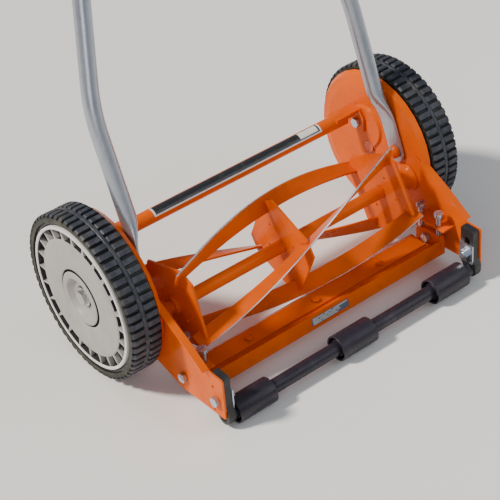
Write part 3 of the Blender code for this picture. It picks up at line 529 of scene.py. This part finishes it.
def dress_cad():
    """Every CAD node that no new piece replaces."""
    for side in SIDES:
        dress(f"{side}_side_plate", ORANGE, 0.6 * MM)
        dress(f"{side}_reel_bearing", ORANGE, 0.8 * MM)
        dress(f"{side}_handle_stud", ORANGE, 0)
        dress(f"{side}_wheel_rim", BLACK, 0)
        dress(f"{side}_pinion", STEEL, 0.3 * MM)
        dress(f"{side}_axle_bolt", STUD_ZINC, 0.5 * MM)
        dress(f"{side}_height_bracket", BLACK, 0.8 * MM)
        for screw in ("front", "rear"):
            dress(f"{side}_{screw}_adjusting_screw", ZINC, 0.45 * MM)
        for bolt in ("tie_bar", "bed_bar_pivot", "height_clamp"):
            dress(f"{side}_{bolt}_bolt", ZINC, 0.45 * MM)
    dress("tie_bar", ORANGE, 0.6 * MM)
    dress("reel_shaft", ORANGE, 0.6 * MM)
    dress("bed_bar", ORANGE, 0.8 * MM)
    dress("bed_knife", KNIFE, 0.3 * MM)
    for place in PLACES:
        dress(f"reel_spider_{place}", ORANGE, 0.6 * MM)
        dress(f"knife_screw_{place}", KNIFE, 0.7 * MM, 3)
    for place in ("lower", "upper"):
        dress(f"handle_bolt_{place}", ZINC, 0.5 * MM)


# ---- wheels ----

def wheel_side(side):
    """1 for the right wheel and -1 for the left."""
    return 1 if side == "right" else -1


def make_tyre(side):
    """Two rows of cross lugs, half a pitch apart, on each side of a smooth middle rib."""
    sign = wheel_side(side)
    low, high = box("right_tyre")
    inner_x, outer_x = low.x, high.x
    middle = (inner_x + outer_x) / 2
    bead = 98 * MM
    wall = TYRE_RADIUS - 6 * MM
    top = TYRE_RADIUS
    floor = TYRE_RADIUS - LUG_HEIGHT
    rib = TYRE_RADIUS - 0.9 * MM
    shoulder = 2.6 * MM
    # each station across the tread: x, radius on a lug, radius in a groove, and its row of lugs
    stations = [
        (outer_x - 0.5 * MM, bead, bead, 0),
        (outer_x - 0.5 * MM, wall, wall, 0),
        (outer_x - 0.5 * MM, wall + 1 * MM, wall + 0.4 * MM, 0),
        (outer_x, wall + 1.6 * MM, wall + 0.8 * MM, 0),
        (outer_x, top - shoulder, wall + 1.4 * MM, 0),
        (outer_x - shoulder * 0.9, top - 0.25 * MM, floor - 0.6 * MM, 0),
        (outer_x - shoulder * 1.4, top, floor, 0),
        (middle + 4.2 * MM, top, floor, 0),
        (middle + 3.4 * MM, top - 0.5 * MM, floor, 0),
        (middle + 2.6 * MM, rib - 0.8 * MM, rib - 0.8 * MM, 0),
        (middle + 1.6 * MM, rib, rib, 0),
        (middle - 1.6 * MM, rib, rib, 1),
        (middle - 2.6 * MM, rib - 0.8 * MM, rib - 0.8 * MM, 1),
        (middle - 3.4 * MM, top - 0.5 * MM, floor, 1),
        (middle - 4.2 * MM, top, floor, 1),
        (inner_x + shoulder * 1.4, top, floor, 1),
        (inner_x + shoulder * 0.9, top - 0.25 * MM, floor - 0.6 * MM, 1),
        (inner_x, top - shoulder, wall + 1.4 * MM, 1),
        (inner_x, wall + 1.6 * MM, wall + 0.8 * MM, 1),
        (inner_x + 0.5 * MM, wall, wall, 1),
        (inner_x + 0.5 * MM, bead, bead, 1),
    ]
    # in parts of a pitch: a lug rises at 0.16 to 0.21 and falls at 0.79 to 0.84, row 1 half a pitch on
    cuts = (0.0, 0.16, 0.21, 0.29, 0.34, 0.5, 0.66, 0.71, 0.79, 0.84)
    lug_from, lug_to = 0.205, 0.795

    vertices, rings = [], []
    for x, on_lug, in_groove, row in stations:
        next_ring(rings, vertices, LUGS * len(cuts))
        for lug in range(LUGS):
            for cut in cuts:
                raised = lug_from < (cut + 0.5 * row) % 1 < lug_to
                angle = 2 * math.pi * (lug + cut) / LUGS
                vertices.append(round_x(sign * x, AXLE, on_lug if raised else in_groove, angle))
    tyre = piece(f"{side}_tread", vertices, ring_faces(rings, True), [RUBBER], f"{side}_wheel", 30)
    bevel = tyre.modifiers.new("edges", "BEVEL")
    bevel.width = 0.3 * MM
    bevel.segments = 1
    bevel.limit_method = "ANGLE"
    bevel.angle_limit = math.radians(50)
    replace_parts(tyre, f"{side}_tyre")


def make_hubcap(side):
    """Moulded cap: bright outer ring, a circle of trapezoid windows, a flat disc and a raised hub. The window
    floors and the deep groove round the hub are painted near-black as shade.
    """
    sign = wheel_side(side)
    low, high = box("right_hubcap")
    face, back = high.x, low.x
    disc_out, ring_in = 77 * MM, 89.2 * MM
    grey, bright, painted_shade = 0, 1, 2
    # each row: depth below the face and radius in mm, then the finish from there to the next row; the deep
    # groove round the hub is painted near-black as shade
    recess_and_hub = [
        (9, 13.2, grey), (7.6, 13.4, grey), (7.4, 20.5, grey), (6.6, 22, grey), (1.2, 25.6, grey),
        (0.3, 26.6, grey), (0, 28, grey), (0, 33, grey), (0.3, 34.4, grey), (1.1, 35.2, painted_shade),
        (7.5, 35.4, painted_shade), (7.5, 37.6, painted_shade), (2.2, 37.8, grey), (1.5, 38.4, grey),
    ]
    disc = [(1.3, 39.6, grey), (1.1, 55, grey), (1.2, 74.4, grey), (1.5, 75.8, grey), (2.0, 76.5, grey)]
    windows = [(2.4, 77, grey), (2.6, 77.3, grey), (2.4, 83, grey), (2.0, 88.9, grey), (1.6, 89.2, bright)]
    ring_and_back = [
        (0.7, 89.5, bright), (0.3, 90.4, bright), (0.3, 92.2, bright), (0.8, 93.1, bright),
        (1.8, 93.4, bright), (9, 93.4, grey), (9.4, 90.4, grey),
    ]
    rows = [(face - depth * MM, radius * MM, finish)
            for depth, radius, finish in recess_and_hub + disc + windows + ring_and_back]
    rows += [(back + 1.2 * MM, 70 * MM, grey), (back + 1.2 * MM, 22 * MM, grey)]
    first_window = len(recess_and_hub + disc)
    last_window = first_window + len(windows) - 1

    pocket_depth = 5.6 * MM
    pocket_wall = 0.35 * MM
    rib_at_disc, rib_at_ring = 5.4 * MM, 1.2 * MM
    pitch = 2 * math.pi / WINDOWS
    columns = 6
    pocket_columns = (2, 3, 4)
    vertices, rings = [], []
    for number, (x, radius, _) in enumerate(rows):
        along = min(max((radius - disc_out) / (ring_in - disc_out), 0), 1)
        rib = (rib_at_disc + (rib_at_ring - rib_at_disc) * along) / 2 / max(radius, disc_out)
        slope = pocket_wall / max(radius, disc_out)
        offsets = (0.0, rib, rib + slope, pitch / 2, pitch - rib - slope, pitch - rib)
        next_ring(rings, vertices, WINDOWS * columns)
        in_pocket = first_window < number < last_window
        for window in range(WINDOWS):
            for column, offset in enumerate(offsets):
                sunk = pocket_depth if in_pocket and column in pocket_columns else 0
                vertices.append(round_x(sign * (x - sunk), AXLE, radius, window * pitch + offset))
    faces = ring_faces(rings, True)
    # the floors of the window pockets take the near-black painted shade
    finishes = []
    for number in range(len(faces)):
        row, column = divmod(number, WINDOWS * columns)
        pocket = first_window <= row < last_window and column % columns in pocket_columns[:-1]
        finishes.append(painted_shade if pocket else rows[row][2])
    cap = piece(f"{side}_hubcap_face", vertices, faces, [HUB, HUB_RING, HUB_PAINTED_SHADE], f"{side}_wheel",
                40, finishes)
    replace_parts(cap, f"{side}_hubcap")


# ---- reel blades ----

def blade_helix(node):
    """A blade's two ends in x, its angle at the first, its twist per metre, its outer and inner radius."""
    points = [v.co for v in NODES[node].data.vertices]
    low, high = min(p.x for p in points), max(p.x for p in points)

    def end(x):
        near = [p for p in points if abs(p.x - x) < 0.2 * MM]
        y = sum(p.y for p in near) / len(near) - REEL[0]
        z = sum(p.z for p in near) / len(near) - REEL[1]
        return math.atan2(z, -y)

    start, stop = end(low), end(high)
    twist = (stop - start) % (2 * math.pi) / (high - low)
    radii = [math.hypot(p.y - REEL[0], p.z - REEL[1]) for p in points]
    return low, high, start, twist, max(radii), min(radii)


def make_blade(number):
    """A twisted strip with rounded inner corners, and its outer edge ground to a narrow land and a relief."""
    node = f"reel_blade_{number}"
    low, high, start, twist, outer, inner = blade_helix(node)
    outer -= 0.05 * MM
    half = 1.45 * MM
    # (radius, distance from the blade's middle), round the section
    section = [
        (inner + 0.1 * MM, -half + 0.5 * MM),
        (inner + 0.6 * MM, -half),
        (outer - 2.2 * MM, -half),
        (outer - 0.3 * MM, -half + 1.1 * MM),
        (outer, -half + 1.3 * MM),
        (outer - 0.02 * MM, half - 0.1 * MM),
        (outer - 0.2 * MM, half),
        (inner + 0.6 * MM, half),
        (inner + 0.1 * MM, half - 0.5 * MM),
    ]
    steps = 110
    vertices, rings = [], []
    for step in range(steps + 1):
        x = low + (high - low) * step / steps
        angle = start + twist * (x - low)
        c, s = math.cos(angle), math.sin(angle)
        next_ring(rings, vertices, len(section))
        for radius, side in section:
            vertices.append((x, REEL[0] - radius * c + side * s, REEL[1] + radius * s + side * c))
    faces = ring_faces(rings) + caps(rings)
    blade = piece(f"blade_{number}", vertices, faces, [BLADE], "reel", 25)
    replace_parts(blade, node)


# ---- rollers ----

def make_rollers():
    """Hollow sleeves, each with a web and a tube inside, on a bar with two thinner ends."""
    yz = centre_yz("roller_middle")
    bore, wall = 9.25 * MM, 2.0 * MM
    for place in PLACES:
        low, high = box(f"roller_{place}")
        radius = (high.z - low.z) / 2
        middle = (low.x + high.x) / 2
        half = (high.x - low.x) / 2
        tube_end, web = half - 2.5 * MM, 2 * MM
        outline = [
            (half, radius - wall),
            (half, radius),
            (-half, radius),
            (-half, radius - wall),
            (-web, radius - wall - 0.3 * MM),
            (-web, bore + 1.8 * MM),
            (-tube_end, bore + 1.4 * MM),
            (-tube_end, bore),
            (tube_end, bore),
            (tube_end, bore + 1.4 * MM),
            (web, bore + 1.8 * MM),
            (web, radius - wall - 0.3 * MM),
        ]
        profile = [(middle + x, r) for x, r in rounded_outline(outline, 0.7 * MM, 3, True)]
        sleeve = turned(f"roller_sleeve_{place}", profile, yz, [ROLLER], "roller")
        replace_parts(sleeve, f"roller_{place}")
    low, high = box("roller_rod")
    rod_radius = (high.z - low.z) / 2
    neck, shoulder, centre_hole = 6 * MM, 191.4 * MM, 0.1 * MM
    outline = [(high.x, centre_hole), (high.x, neck), (shoulder, neck), (shoulder, rod_radius),
               (-shoulder, rod_radius), (-shoulder, neck), (low.x, neck), (low.x, centre_hole)]
    profile = rounded_outline(outline, 0.6 * MM, 3)
    rod = turned("roller_bar", profile, yz, [ROLLER], "roller", 64, False)
    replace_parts(rod, "roller_rod")


# ---- handle ----

def up_handle(x, distance):
    """The point in the handle's plane at a distance up from its pivot."""
    return Vector((x, PIVOT.y + distance * math.sin(LEAN), PIVOT.z + distance * math.cos(LEAN)))


STRAIGHT_UP = (up_handle(0, 1) - up_handle(0, 0)).normalized()


def swept(name, stations, segments=32):
    """A tube through superellipses: each station is a centre, a direction, two half widths and a power."""
    across = Vector((0, math.cos(LEAN), -math.sin(LEAN)))
    vertices, rings = [], []
    for centre, direction, half_side, half_across, power in stations:
        side = direction.cross(across).normalized()
        next_ring(rings, vertices, segments)
        for i in range(segments):
            angle = 2 * math.pi * i / segments
            c, s = math.cos(angle), math.sin(angle)
            u = math.copysign(abs(c) ** power, c) * half_side
            v = math.copysign(abs(s) ** power, s) * half_across
            vertices.append(centre + side * u + across * v)
    return piece(name, vertices, ring_faces(rings) + caps(rings), [TUBE], "handle", 40)


def handle_path(sign):
    """One arm's centre line from the top of its flattened foot up: (point, direction), with rounded bends."""
    corners = [
        up_handle(sign * ARM_X, ARM_STRAIGHT),
        up_handle(sign * ARM_X, ARM_BEND),
        up_handle(sign * (ARM_TOP_X + 0.4 * MM), ARM_JOIN),
        up_handle(sign * ARM_TOP_X, ARM_TOP),
    ]
    points = fillet(corners, ARM_BEND_RADIUS, 14)
    path = []
    for i, point in enumerate(points):
        ahead, behind = points[min(i + 1, len(points) - 1)], points[max(i - 1, 0)]
        path.append((point, (ahead - behind).normalized()))
    return path


def make_arm(side):
    """Flattened foot round the stud, a blend into round tube, two bends and an open top end."""
    sign = wheel_side(side)
    flat_half, flat_power = 1.65 * MM, 0.35
    foot_half, below_pivot, foot_steps = 13 * MM, 2 * MM, 8
    stations = []
    for step in range(foot_steps + 1):
        angle = math.pi / 2 * step / foot_steps
        end = up_handle(sign * ARM_FOOT_X, -below_pivot - foot_half * math.cos(angle))
        stations.append((end, STRAIGHT_UP, flat_half, max(foot_half * math.sin(angle), 0.6 * MM), flat_power))
    # mm: distance up the handle, how far inside the foot's x, the two half widths, and the power
    for distance, inside, half_side, half_across, power in (
        (20, 0, 1.65, 13, 0.35), (40, 0.2, 1.8, 13, 0.4), (48, 1, 2.4, 13, 0.5), (56, 2.8, 3.7, 12.8, 0.65),
        (64, 5.2, 5.8, 12.2, 0.8), (72, 7.4, 8.2, 11.4, 0.95), (79, 8.4, 9.8, 10.8, 1.0),
    ):
        centre = up_handle(sign * (ARM_FOOT_X - inside * MM), distance * MM)
        stations.append((centre, STRAIGHT_UP, half_side * MM, half_across * MM, power))
    path = handle_path(sign)
    stations += [(point, direction, ARM_RADIUS, ARM_RADIUS, 1.0) for point, direction in path]
    end, direction = path[-1]
    inner = ARM_RADIUS - TUBE_WALL
    stations.append((end, direction, inner, inner, 1.0))
    stations.append((end - direction * TUBE_OPENING, direction, inner, inner, 1.0))
    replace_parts(swept(f"{side}_arm_tube", stations), f"{side}_handle_arm")


def make_handle_top():
    """The stem between the arms, the grip bar across it and the two foam grips."""
    low, high = box("handle_stem")
    radius = (high.x - low.x) / 2
    inner = radius - TUBE_WALL
    bar_yz = centre_yz("handle_grip_bar")
    bar_distance = (Vector((0, *bar_yz)) - Vector((0, PIVOT.y, PIVOT.z))).length
    start, stop = ARM_JOIN - 6 * MM, bar_distance - radius - 0.2 * MM
    outline = [(start + TUBE_OPENING, inner), (start, inner), (start, radius), (stop, radius)]
    stations = [(up_handle(0, distance), STRAIGHT_UP, half, half, 1.0) for distance, half in outline]
    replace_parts(swept("stem_tube", stations, 48), "handle_stem")

    half = box("handle_grip_bar")[1].x
    outline = [(half, inner), (half, radius), (-half, radius), (-half, inner)]
    profile = rounded_outline(outline, 0.3 * MM, 2, True)
    bar = turned("grip_bar_tube", profile, bar_yz, [TUBE], "handle", 48)
    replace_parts(bar, "handle_grip_bar")

    low, high = box("right_foam_grip")
    skin = (high.z - low.z) / 2
    bulges, steps = 9, 54
    dip = 0.5 * MM
    outline = [(low.x, radius + 0.2 * MM), (low.x, skin - 1.2 * MM)]
    for i in range(steps + 1):
        t = i / steps
        sunk = dip * (1 - abs(math.sin(math.pi * bulges * t))) ** 2
        outline.append((low.x + 3 * MM + (high.x - low.x - 8 * MM) * t, skin - sunk))
    outline += [(high.x - 1.6 * MM, skin - 1.4 * MM), (high.x, skin - 5 * MM), (high.x, 0.5 * MM)]
    for side in SIDES:
        sign = wheel_side(side)
        grip = turned(f"{side}_grip_sleeve", [(sign * x, r) for x, r in outline], bar_yz, [FOAM], "handle",
                      64, False, 50)
        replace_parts(grip, f"{side}_foam_grip")


# ---- printed films ----

def tie_bar_centre():
    """The axis (y, z) of the tie bar's round middle, from its points away from the two flattened ends."""
    points = [v.co for v in NODES["tie_bar"].data.vertices if abs(v.co.x) < 175 * MM]
    ys = [p.y for p in points]
    return (min(ys) + max(ys)) / 2, min(p.z for p in points) + TIE_BAR_RADIUS


def film(name, x0, x1, angles, lift, centre, material):
    """A thin printed film round part of the tie bar, between two angles in degrees and lifted off it."""
    steps = 12
    vertices, rings = [], []
    for x in (x0, x1):
        next_ring(rings, vertices, 2 * (steps + 1))
        for reach, way in ((0, range(steps + 1)), (FILM_THICKNESS, range(steps, -1, -1))):
            for i in way:
                angle = math.radians(angles[0] + (angles[1] - angles[0]) * i / steps)
                vertices.append(round_x(x, centre, TIE_BAR_RADIUS + lift + reach, angle))
    faces = ring_faces(rings) + caps(rings)
    piece(name, vertices, faces, [material], "frame", 40)


def make_decals():
    """A black field with a pale border, and a pale block at its right end."""
    centre = tie_bar_centre()
    left, right = -130 * MM, 135 * MM
    border = 2.5 * MM
    film("tie_bar_decal_border", left, right, (60, 159), 0.02 * MM, centre, PRINT_WHITE)
    film("tie_bar_decal_field", left + border, right - border, (70, 147), 0.15 * MM, centre, PRINT_BLACK)
    film("tie_bar_decal_block", right - 34 * MM, right - 5 * MM, (78, 138), 0.28 * MM, centre, PRINT_WHITE)


def label_face():
    """The normal and corners of the bed bar's largest face that looks back and up and crosses its middle."""
    mesh = NODES["bed_bar"].data

    def crosses_middle(polygon):
        xs = [mesh.vertices[i].co.x for i in polygon.vertices]
        return min(xs) < 0 < max(xs)

    lit = [p for p in mesh.polygons if p.normal.y < -0.3 and p.normal.z > 0 and crosses_middle(p)]
    chosen = max(lit, key=lambda p: p.area)
    return chosen.normal.copy(), [mesh.vertices[i].co for i in chosen.vertices]


def make_bar_label():
    """A small label on the bed bar, near the middle: a blue-grey field with rows of plain pale bars."""
    normal, corners = label_face()
    along = Vector((1, 0, 0))
    up = normal.cross(along)
    if up.z < 0:
        up = -up
    levels = [corner.dot(up) for corner in corners]
    face_height = max(levels) - min(levels)
    middle = min(levels) + face_height * 0.45
    height = min(face_height * 0.62, 12 * MM)
    plane = corners[0].dot(normal)

    def patch(name, x0, x1, low, high, lift, material):
        vertices = []
        for level in (lift, lift + FILM_THICKNESS):
            for x, v in ((x0, low), (x1, low), (x1, high), (x0, high)):
                vertices.append(along * x + up * (middle + v) + normal * (plane + level))
        faces = [(0, 1, 2, 3), (4, 5, 6, 7), (0, 1, 5, 4), (1, 2, 6, 5), (2, 3, 7, 6), (3, 0, 4, 7)]
        piece(name, vertices, faces, [material], "bed_knife", 30)

    half = height / 2
    patch("bar_label_field", -31 * MM, 28 * MM, -half, half, 0.02 * MM, PRINT_GREY)
    # each row of bars, from the top, as (start, end) in mm
    rows = (
        ((-29, -12), (-10, 2), (4, 26)),
        ((-29, -20), (-18, -3), (-1, 13)),
        ((-29, -7), (-5, 7), (9, 14)),
        ((-29, -16), (-14, 10)),
    )
    pitch = height / (len(rows) + 0.6)
    for row, words in enumerate(rows):
        low = half - (row + 1) * pitch
        for word, (x0, x1) in enumerate(words):
            name = f"bar_label_word_{row + 1}_{word + 1}"
            patch(name, x0 * MM, x1 * MM, low, low + 0.5 * pitch, 0.15 * MM, PRINT_WHITE)


# ---- camera, light and floor ----

CAMERA_PLACE = (-0.9423, -1.3433, 1.2525)
CAMERA_ANGLES_DEG = (-35.88, 37.04, 5.03)  # azimuth from -Y, elevation, roll
CAMERA_LENS_MM = 113.66
CAMERA_SENSOR_MM = 36


def make_camera():
    """Looks along the given angles from the given place."""
    azimuth, elevation, roll = (math.radians(a) for a in CAMERA_ANGLES_DEG)
    back = Vector((math.sin(azimuth) * math.cos(elevation), -math.cos(azimuth) * math.cos(elevation),
                   math.sin(elevation)))
    right = Vector((math.cos(azimuth), math.sin(azimuth), 0))
    up = back.cross(right)
    x_axis = right * math.cos(roll) - up * math.sin(roll)
    y_axis = up * math.cos(roll) + right * math.sin(roll)
    data = bpy.data.cameras.new("camera")
    data.sensor_width = CAMERA_SENSOR_MM
    data.lens = CAMERA_LENS_MM
    data.clip_end = 50
    camera = bpy.data.objects.new("camera", data)
    bpy.context.scene.collection.objects.link(camera)
    place = Matrix.Translation(CAMERA_PLACE)
    camera.matrix_world = place @ Matrix((x_axis, y_axis, back)).transposed().to_4x4()
    bpy.context.scene.camera = camera


LIGHT_TARGET = Vector((0, 0, 0.1))


def make_light(name, direction, distance, size, energy, colour):
    """A square softbox that faces the machine."""
    data = bpy.data.lights.new(name, "AREA")
    data.energy = energy
    data.color = colour
    data.size = size
    light = bpy.data.objects.new(name, data)
    bpy.context.scene.collection.objects.link(light)
    light.location = LIGHT_TARGET + Vector(direction).normalized() * distance
    light.rotation_euler = (LIGHT_TARGET - light.location).to_track_quat("-Z", "Y").to_euler()


def make_sun(name, direction, spread, strength, colour):
    """Sunlight from a direction, from a disc so many degrees wide."""
    data = bpy.data.lights.new(name, "SUN")
    data.energy = strength
    data.angle = math.radians(spread)
    data.color = colour
    sun = bpy.data.objects.new(name, data)
    bpy.context.scene.collection.objects.link(sun)
    sun.location = Vector(direction) * 3
    sun.rotation_euler = (-Vector(direction)).to_track_quat("-Z", "Y").to_euler()


def make_world(colour, strength):
    """Even sky light."""
    world = bpy.data.worlds.new("studio")
    world.use_nodes = True
    background = world.node_tree.nodes["Background"]
    background.inputs["Color"].default_value = (*colour, 1)
    background.inputs["Strength"].default_value = strength
    bpy.context.scene.world = world


def make_floor():
    """A wide, plain, pale floor."""
    mesh = bpy.data.meshes.new("floor")
    half = 25
    corners = [(-half, -half, 0), (half, -half, 0), (half, half, 0), (-half, half, 0)]
    mesh.from_pydata(corners, [], [(0, 1, 2, 3)])
    floor = bpy.data.objects.new("floor", mesh)
    bpy.context.scene.collection.objects.link(floor)
    s = Surface("studio_floor", (0.88, 0.87, 0.85), 0.6)
    s.put("Base Color", s.mix(s.noise(3, 4), (0.86, 0.85, 0.83), (0.90, 0.89, 0.87)))
    mesh.materials.append(s.material)


def main():
    make_camera()
    make_world((0.86, 0.91, 1.0), 0.30)
    make_sun("key", (-0.62, 0.30, 0.72), 8, 4.1, (1.0, 0.94, 0.84))
    make_light("fill", (0.9, -1.0, 0.9), 3.2, 2.2, 22, (0.90, 0.95, 1.0))
    make_light("front", (-1.0, -1.2, 0.8), 3.2, 1.6, 16, (1, 1, 1))
    make_floor()
    dress_cad()
    for side in SIDES:
        make_tyre(side)
        make_hubcap(side)
        make_arm(side)
    for number in range(1, BLADES + 1):
        make_blade(number)
    make_rollers()
    make_handle_top()
    make_decals()
    make_bar_label()


main()
